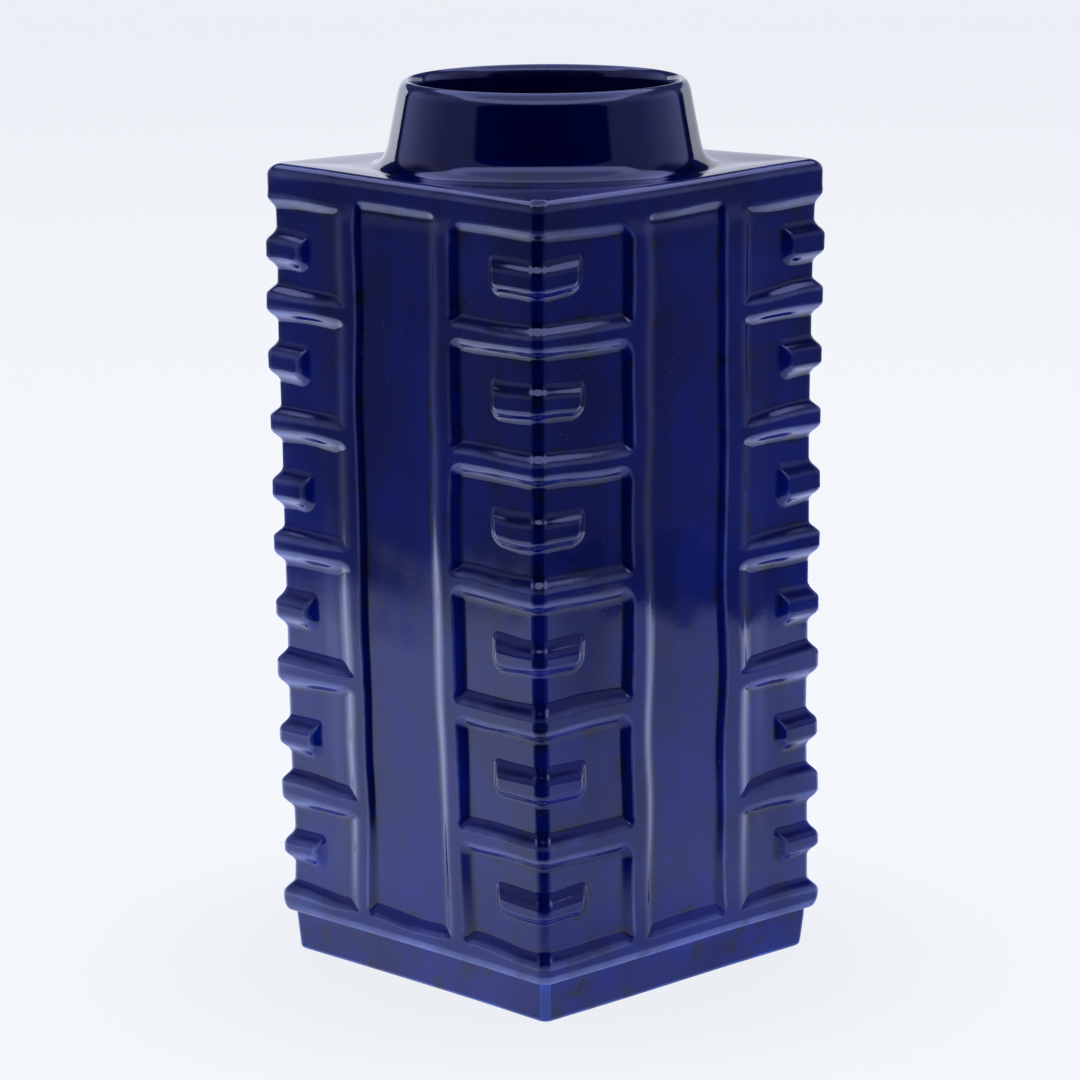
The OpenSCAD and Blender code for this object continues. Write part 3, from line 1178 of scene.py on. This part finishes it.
def lathe(profile, columns):
    angle = np.linspace(0.0, 2 * math.pi, columns, endpoint=False)
    r = profile[:, 0][:, None]
    z = np.repeat(profile[:, 1][:, None], columns, axis=1)
    return np.stack([r * np.cos(angle), r * np.sin(angle), z], axis=-1)


def neckLean():
    # angle of the neck's cone from upright, and where it meets the lip
    width, drop = neck["lipOuter"]
    angle = math.radians(10.0)  # a first guess, which a few rounds settle
    for _ in range(8):
        start = math.atan(math.tan(angle) * drop / width)
        topR = neck["lipTopRadius"] + width * math.cos(start)
        topZ = body["lip"] - drop + drop * math.sin(start)
        angle = math.atan2(neck["baseRadius"] - topR, topZ - body["shoulder"])
    return angle, start, topR, topZ


def throwUneven(grid):
    turn, twist = neck["throwingTurn"]
    low, high = neck["throwingFrom"]
    swell = neck["outOfRound"] * ripple(grid, *waves["neck"])
    rings = neck["throwing"] * np.sin(grid[..., 2] * turn + twist * np.arctan2(grid[..., 1], grid[..., 0]))
    rise = smooth(body["shoulder"] + low, body["shoulder"] + high, grid[..., 2])
    scale = 1.0 + (swell + rings * rise) / np.hypot(grid[..., 0], grid[..., 1])
    out = grid.copy()
    out[..., :2] *= scale[..., None]
    return out


def lipArc(start, end, count, width, drop):
    turn = np.linspace(start, end, count)[1:]
    r = neck["lipTopRadius"] + width * np.cos(turn)
    return np.stack([r, body["lip"] - drop + drop * np.sin(turn)], axis=-1)


def lipMasks(bend, grid):
    low, high = [body["lip"] - down for down in neck["runOffDown"]]
    masks = masksFrom(neck["bendShare"] * bend)
    masks["edge"] = np.clip(masks["edge"] + neck["runOff"] * smooth(low, high, grid[..., 2]), 0.0, 1.0)
    return masks


def buildNeck():
    _, start, topR, topZ = neckLean()
    base = (neck["baseRadius"], body["shoulder"])
    cone = np.linspace(base, (topR, topZ), neck["coneRows"])
    outerRows, innerRows = neck["lipRows"]
    outer = lipArc(start, math.pi / 2, outerRows, *neck["lipOuter"])
    inner = lipArc(math.pi / 2, math.pi, innerRows, *neck["lipInner"])
    boreTop = (neck["bore"], body["lip"] - neck["lipInner"][1])
    bore = np.linspace(boreTop, (neck["bore"], body["shoulder"]), neck["boreRows"])[1:]
    grid = throwUneven(lathe(np.concatenate([cone, outer, inner, bore]), neck["columns"]))
    grid[..., 2] = np.minimum(grid[..., 2], body["lip"])
    normals = gridNormals(grid, True)
    masks = lipMasks(gridBend(grid, normals, True), grid)
    r, c = grid.shape[:2]
    quads = gridFaces(r, c, True, True)
    layPiece("neck", grid, quads, [], normals, masks, (r - 1) * c, neckGlazeInShade)


def buildNeckCoil():
    angle = neckLean()[0]
    base = neck["baseRadius"]
    shoulderZ = body["shoulder"]
    toeR = base + neck["filletOut"]
    headR = base - neck["filletUp"] * math.tan(angle)
    headZ = shoulderZ + neck["filletUp"]
    t = np.linspace(0.0, 1.0, neck["coilRows"])[:, None]
    sweep = (
        (1 - t) ** 2 * np.array([toeR, shoulderZ])
        + 2 * t * (1 - t) * np.array([base, shoulderZ])
        + t**2 * np.array([headR, headZ])
    )
    # thin laps over the shoulder and the neck, then back behind them
    lap = neck["filletLap"]
    sink = neck["lapSink"]
    ease = sink * neck["lapEase"]
    upR = math.sin(angle) * lap
    upZ = math.cos(angle) * lap
    toe = [(toeR + lap, shoulderZ - sink), (toeR + lap / 2, shoulderZ - ease)]
    head = [(headR - upR / 2 - ease, headZ + upZ / 2), (headR - upR - sink, headZ + upZ)]
    under = shoulderZ - neck["coilUnder"]
    back = [(head[1][0] - neck["coilBack"], head[1][1]), (base - neck["coilBack"], under), (toeR, under)]
    profile = np.concatenate([toe, sweep, head, back])
    grid = throwUneven(lathe(profile, neck["columns"]))
    r, c = grid.shape[:2]
    sheet = r - len(back)
    normals = gridNormals(grid[:sheet], True)
    masks = masksFrom(padded(gridBend(grid[:sheet], normals, True), len(back)))
    quads = gridFaces(r, c, True, True)
    normals = padded(normals, len(back))
    layPiece("neck_coil", grid, quads, [], normals, masks, (sheet - 1) * c, blueGlaze)


buildNeck()
buildNeckCoil()
print("neck thrown and coiled in")

# mitred foot strips with a softened lower edge and a bare resting edge
foot = {
    "topHalf": 57.7,
    "tableHalf": 56.8,
    "corner": 2.5,
    "edge": 1.4,
    "inner": 47.7,
    "sideRows": 20,
    "edgeRows": 9,
    "wander": 0.1,
    "wanderSpans": ((0.0, 3.0), (13.3, 10.0)),
    "bareSpan": (0.5, 0.05),
}


def buildFoot():
    columns = wallColumns()
    table, edge, radius = foot["tableHalf"], foot["edge"], foot["corner"]
    turn = np.linspace(math.pi / 2, 0.0, foot["edgeRows"])[:-1]
    upZ = np.linspace(edge, body["footTop"], foot["sideRows"])
    upHalf = table + (foot["topHalf"] - table) * (upZ - edge) / (body["footTop"] - edge)
    z = np.concatenate([edge * (1.0 - np.sin(turn)), upZ])
    half = np.concatenate([table - edge * (1.0 - np.cos(turn)), upHalf])
    zz = np.repeat(z[:, None], columns[0].shape[1], axis=1)
    half = half[:, None]
    lower, upper = foot["wanderSpans"]
    rounds = []
    inners = []
    for q in range(4):
        place = sidePoints(columns, zz, half, radius, 0.0, q)
        out = foot["wander"] * ripple(place, *waves["foot"]) * smooth(*lower, zz) * smooth(*upper, zz)
        rounds.append(sidePoints(columns, zz, half, radius, out, q)[:, :-1])
        inners.append(sidePoints(columns, zz[:1], table, radius, 0.0, q)[:, :-1] * foot["inner"] / table)
    outer = warped(np.concatenate(rounds, axis=1))
    inner = np.repeat(np.concatenate(inners, axis=1), 2, axis=0)
    inner[0, :, 2] = body["footTop"]
    inner[1, :, 2] = 0.0
    rows = np.concatenate([outer, inner])
    normals = gridNormals(outer, True)
    bend = padded(gridBend(outer, normals, True), 2)
    bare = padded(smooth(*foot["bareSpan"], outer[..., 2]), 2)
    bare[-1] = 1.0
    normals = padded(normals, 2)
    for q, side in enumerate(sides):
        grid = cutSide(rows, q)
        masks = masksFrom(cutSide(bend, q))
        masks["bare"] = cutSide(bare, q)
        r, c = grid.shape[:2]
        layPiece(
            "foot_" + side,
            grid,
            gridFaces(r, c, True, False),
            endCaps(r, c),
            cutSide(normals, q),
            masks,
            (len(outer) - 1) * (c - 1),
            footGlaze,
        )


buildFoot()
print("foot mitred")

# pieces kept from the frame take the inner glaze
for node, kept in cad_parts.items():
    if node == "base_slab" or "coil_" in node and node != "neck_coil":
        kept.data.materials.clear()
        kept.data.materials.append(innerGlaze)
print("inner pieces glazed")

# studio, in metres: the picture's right hand, its depth and up
rightWay = np.array([0.70710678, 0.70710678, 0.0])
awayWay = np.array([-0.70710678, 0.70710678, 0.0])
upWay = np.array([0.0, 0.0, 1.0])
# pale floor for the eye alone: it glows, painted darker far off and with a painted contact shadow close
# around the vase
floorLook = {
    "half": 14.0,
    "near": (0.9, 0.92, 0.955),
    "far": (0.83, 0.855, 0.895),
    "farSpan": (0.5, 3.2),
    "glow": 0.985,
    "shade": 0.93,
    "shadeSpan": (0.06, 0.17),
    "catch": (0.1, 0.1, 0.1),
}


def stageMesh(name, points, faces, material, unseenBy):
    mesh = bpy.data.meshes.new(name)
    mesh.from_pydata([tuple(p) for p in points], [], faces)
    mesh.materials.append(material)
    thing = bpy.data.objects.new(name, mesh)
    scene.collection.objects.link(thing)
    for rays in unseenBy:
        setattr(thing, "visible_" + rays, False)


def floorMaterial():
    material, tree, surface = newMaterial("paleFloor")
    away = vectorValue(tree, "LENGTH", objectPlace(tree))
    far = mapRange(tree, away, *floorLook["farSpan"])
    bright = floorLook["glow"]
    glow = addNode(tree, "ShaderNodeEmission")
    plug(tree, glow.inputs["Color"], mixColour(tree, far, floorLook["near"], floorLook["far"]))
    # painted contact shadow: the glow is dimmer close around the vase
    level = mapRange(tree, away, *floorLook["shadeSpan"], bright * floorLook["shade"], bright)
    plug(tree, glow.inputs["Strength"], level)
    catch = addNode(tree, "ShaderNodeBsdfDiffuse")
    plug(tree, catch.inputs["Color"], floorLook["catch"])
    both = addNode(tree, "ShaderNodeAddShader")
    tree.links.new(glow.outputs[0], both.inputs[0])
    tree.links.new(catch.outputs[0], both.inputs[1])
    tree.links.new(both.outputs[0], surface)
    return material


# white paper: a sweep that the glaze mirrors, and a flat card that lights it
paper = {
    "left": 0.66,
    "right": 0.62,
    "wide": 0.87,
    "front": 0.22,
    "full": 0.1,
    "back": 0.62,
    "curve": 0.3,
    "curveRows": 13,
    "high": 0.52,
    "sink": 0.0004,
    "tint": (0.73, 0.82, 1.2),
    "backTint": (0.84, 0.87, 1.0),
    "uprightSpan": (0.02, 0.12),
    # glow at the left and the right end of the paper, as mirrored and as light on the glaze
    "shine": (1.3, 0.76),
    "light": (1.0, 0.9),
    "glowSpan": (-0.3, 0.45),
    # shade close around the vase, left and right
    "shade": (0.12, 0.44),
    "shadeSpan": (0.18, 0.085),
    "shadeTurn": (-0.06, 0.06),
    # the card is dimmer ahead of a wedge and far away
    "wedge": (0.8, 1.5),
    "wedgeTurn": (-0.02, 0.02),
    "wedgeSpan": (-0.16, -0.04),
    "ahead": 0.22,
    "farGlow": 0.78,
    "farSpan": (0.22, 0.6),
    "cardDepth": (-0.55, 1.22),
    # the sweep's edges run inwards behind the vase and fade out
    "inwards": (-0.055, 0.12),
    "inwardsSpan": (0.0, 0.4),
    "leftFade": (-0.655, -0.49),
    "rightFade": (0.59, 0.535),
    "past": 0.13,
    "behind": (0.85, 1.4),
    "behindSpan": (-0.02, 0.14),
    "behindTurn": (-0.1, 0.1),
    "wing": 1.6,
    "wingSpan": (0.4, 0.8),
}


def paperMaterial(name, glowEnds, aheadShare=1.0, mirrored=False):
    material, tree, surface = newMaterial(name)
    place = objectPlace(tree)
    across = vectorValue(tree, "DOT_PRODUCT", place, rightWay)
    along = vectorValue(tree, "DOT_PRODUCT", place, awayWay)
    height = vectorValue(tree, "DOT_PRODUCT", place, upWay)
    away = vectorValue(tree, "LENGTH", place)
    aside = reckon(tree, "ABSOLUTE", across)
    level = mapRange(tree, across, *paper["glowSpan"], *glowEnds)
    leftShade, rightShade = paper["shade"]
    close = mapRange(tree, away, *paper["shadeSpan"])
    if not mirrored:
        rightShade = leftShade
    shade = mapRange(tree, across, *paper["shadeTurn"], leftShade, rightShade)
    level = times(tree, level, minus(tree, 1.0, times(tree, close, shade)))
    wedge = mapRange(tree, across, *paper["wedgeTurn"], *paper["wedge"])
    wedge = plus(tree, times(tree, aside, wedge), along)
    level = times(tree, level, mapRange(tree, wedge, *paper["wedgeSpan"], aheadShare, 1.0))
    upright = mapRange(tree, height, *paper["uprightSpan"])
    if mirrored:
        level = times(tree, level, mapRange(tree, along, -paper["front"], -paper["full"]))
        leftIn, rightIn = [
            plus(tree, across, mapRange(tree, along, *paper["inwardsSpan"], 0.0, inwards))
            for inwards in paper["inwards"]
        ]
        leftEnd = mapRange(tree, leftIn, *paper["leftFade"], paper["past"], 1.0)
        rightEnd = mapRange(tree, rightIn, *paper["rightFade"], paper["past"], 1.0)
        fade = reckon(tree, "MINIMUM", leftEnd, rightEnd)
        gain = mapRange(tree, across, *paper["behindTurn"], *paper["behind"])
        gain = times(tree, mapRange(tree, along, *paper["behindSpan"]), gain)
        fade = times(tree, fade, plus(tree, gain, 1.0))
        # the upright back of the sweep glows more towards its wings
        wing = mapRange(tree, aside, *paper["wingSpan"], 1.0, paper["wing"])
        lying = mapRange(tree, upright, 0.0, 1.0, 1.0, 0.0)
        fade = plus(tree, times(tree, minus(tree, fade, wing), lying), wing)
        level = times(tree, level, fade)
    else:
        level = times(tree, level, mapRange(tree, away, *paper["farSpan"], 1.0, paper["farGlow"]))
    glow = addNode(tree, "ShaderNodeEmission")
    plug(tree, glow.inputs["Color"], mixColour(tree, upright, paper["tint"], paper["backTint"]))
    plug(tree, glow.inputs["Strength"], level)
    tree.links.new(glow.outputs[0], surface)
    return material


def buildStage():
    h = floorLook["half"]
    square = [(-h, -h, 0.0), (h, -h, 0.0), (h, h, 0.0), (-h, h, 0.0)]
    stageMesh("floor", square, [(0, 1, 2, 3)], floorMaterial(), ["glossy", "diffuse"])
    left, right, wide, down = paper["left"], paper["right"], paper["wide"], -paper["sink"]
    line = [(-paper["front"], left, right, down), (paper["back"], wide, wide, down)]
    for angle in np.linspace(0.0, math.pi / 2, paper["curveRows"])[1:]:
        rise = paper["curve"] * (1.0 - math.cos(angle)) + down
        line.append((paper["back"] + paper["curve"] * math.sin(angle), wide, wide, rise))
    line.append((line[-1][0], wide, wide, paper["high"]))
    points = []
    for depth, toLeft, toRight, z in line:
        points += [rightWay * side + awayWay * depth + upWay * z for side in (-toLeft, toRight)]
    faces = [(2 * i, 2 * i + 1, 2 * i + 3, 2 * i + 2) for i in range(len(line) - 1)]
    white = paperMaterial("whitePaper", paper["shine"], mirrored=True)
    stageMesh("paperSweep", points, faces, white, ["camera", "diffuse", "shadow"])
    near, far = paper["cardDepth"]
    outline = [(-left, near), (right, near), (right, far), (-left, far)]
    points = [rightWay * side + awayWay * depth + upWay * down for side, depth in outline]
    light = paperMaterial("paperLight", paper["light"], paper["ahead"])
    stageMesh("floorCard", points, [(0, 1, 2, 3)], light, ["camera", "glossy", "shadow"])


# soft sky around the vase, by bearing from the front and by height, in degrees
sky = {
    # dark front, rounded at its upper corners
    "darkTurn": 1.5,
    "darkHalf": 53.0,
    "darkTop": 26.0,
    "darkRound": 3.5,
    "darkEdge": (0.86, 1.16),
    # glow at the sides, up to the paper
    "sideGlow": 0.28,
    "sideEnd": (129.0, 133.0),
    "sideSwell": 2.1,
    "sideSwellSpan": (75.0, 125.0),
    "gapGlow": 0.03,
    "lowGlow": 0.12,
    "lowSpan": (-4.0, 4.0),
    "sideTop": (14.0, 30.0),
    "sideHigh": 0.12,
    "sideHighTurn": (92.0, 108.0),
    "sideHighLeast": 0.15,
    # bright band overhead
    "topGlow": 2.2,
    "topSpan": (25.5, 30.0),
    "topTurn": (60.0, 95.0),
    "topLift": 12.0,
    "topEnd": (35.0, 49.0),
    "topRest": (0.45, 0.75),
    "topSide": 0.78,
    "topSideTurn": (75.0, 100.0),
    # plain light on the glaze
    "plainShare": 0.06,
    "zenith": 0.5,
    "zenithSpan": (62.0, 82.0),
    "beam": 1.0,
    "beamStart": (38.0, 48.0),
    "beamEnd": (58.0, 68.0),
    "beamTurn": (80.0, 105.0),
    "tint": (0.76, 0.81, 1.35),
    "shineTint": (0.76, 0.81, 1.7),
}


def buildSky():
    world = bpy.data.worlds.new("studioSky")
    scene.world = world
    world.use_nodes = True
    tree = world.node_tree
    tree.nodes.clear()
    way = addNode(tree, "ShaderNodeTexCoord").outputs["Generated"]
    toRight = vectorValue(tree, "DOT_PRODUCT", way, rightWay)
    toFront = vectorValue(tree, "DOT_PRODUCT", way, -awayWay)
    up = vectorValue(tree, "DOT_PRODUCT", way, upWay)
    inDegrees = 180.0 / math.pi
    bearing = plus(tree, reckon(tree, "ARCTAN2", toRight, toFront), math.radians(sky["darkTurn"]))
    bearing = times(tree, reckon(tree, "ABSOLUTE", bearing), inDegrees)
    height = times(tree, reckon(tree, "ARCSINE", up), inDegrees)

    aside = reckon(tree, "DIVIDE", bearing, sky["darkHalf"])
    raised = reckon(tree, "DIVIDE", reckon(tree, "MAXIMUM", height, 0.0), sky["darkTop"])
    reach = plus(tree, *[reckon(tree, "POWER", x, sky["darkRound"]) for x in (aside, raised)])
    outside = mapRange(tree, reach, *sky["darkEdge"])

    side = mapRange(tree, bearing, *sky["sideEnd"], sky["sideGlow"], 0.0)
    side = times(tree, side, mapRange(tree, bearing, *sky["sideSwellSpan"], 1.0, sky["sideSwell"]))
    side = plus(tree, side, sky["gapGlow"])
    lowShare = sky["lowGlow"] / sky["sideGlow"]
    side = times(tree, side, mapRange(tree, height, *sky["lowSpan"], lowShare, 1.0))
    drop = mapRange(tree, height, *sky["sideTop"], 0.0, 1.0 - sky["sideHigh"])
    drop = times(tree, drop, mapRange(tree, bearing, *sky["sideHighTurn"], sky["sideHighLeast"], 1.0))
    side = times(tree, side, minus(tree, 1.0, drop))

    over = minus(tree, height, mapRange(tree, bearing, *sky["topTurn"], 0.0, sky["topLift"]))
    overhead = mapRange(tree, over, *sky["topSpan"], 0.0, sky["topGlow"])
    frontLoss, sideLoss = [1.0 - rest for rest in sky["topRest"]]
    loss = mapRange(tree, bearing, *sky["topTurn"], frontLoss, sideLoss)
    loss = times(tree, mapRange(tree, over, *sky["topEnd"]), loss)
    overhead = times(tree, overhead, minus(tree, 1.0, loss))
    overhead = times(tree, overhead, mapRange(tree, bearing, *sky["topSideTurn"], 1.0, sky["topSide"]))
    glossy = times(tree, reckon(tree, "MAXIMUM", side, overhead), outside)

    plain = times(tree, side, sky["plainShare"])
    plain = plus(tree, plain, mapRange(tree, height, *sky["zenithSpan"], 0.0, sky["zenith"]))
    beam = mapRange(tree, height, *sky["beamStart"], 0.0, sky["beam"])
    beam = times(tree, beam, mapRange(tree, height, *sky["beamEnd"], 1.0, 0.0))
    beam = times(tree, beam, mapRange(tree, bearing, *sky["beamTurn"]))
    plain = plus(tree, plain, beam)

    rays = addNode(tree, "ShaderNodeLightPath").outputs
    glow = addNode(tree, "ShaderNodeMix", data_type="FLOAT")
    tree.links.new(rays["Is Glossy Ray"], glow.inputs[0])
    tree.links.new(plain, glow.inputs[2])
    tree.links.new(glossy, glow.inputs[3])
    tint = mixColour(tree, rays["Is Glossy Ray"], sky["tint"], sky["shineTint"])
    tinted = mixColour(tree, 1.0, glow.outputs[0], tint, "MULTIPLY")
    back = addNode(tree, "ShaderNodeBackground")
    plug(tree, back.inputs["Color"], mixColour(tree, rays["Is Camera Ray"], tinted, floorLook["far"]))
    output = addNode(tree, "ShaderNodeOutputWorld")
    tree.links.new(back.outputs[0], output.inputs["Surface"])


buildStage()
buildSky()
print("studio set")
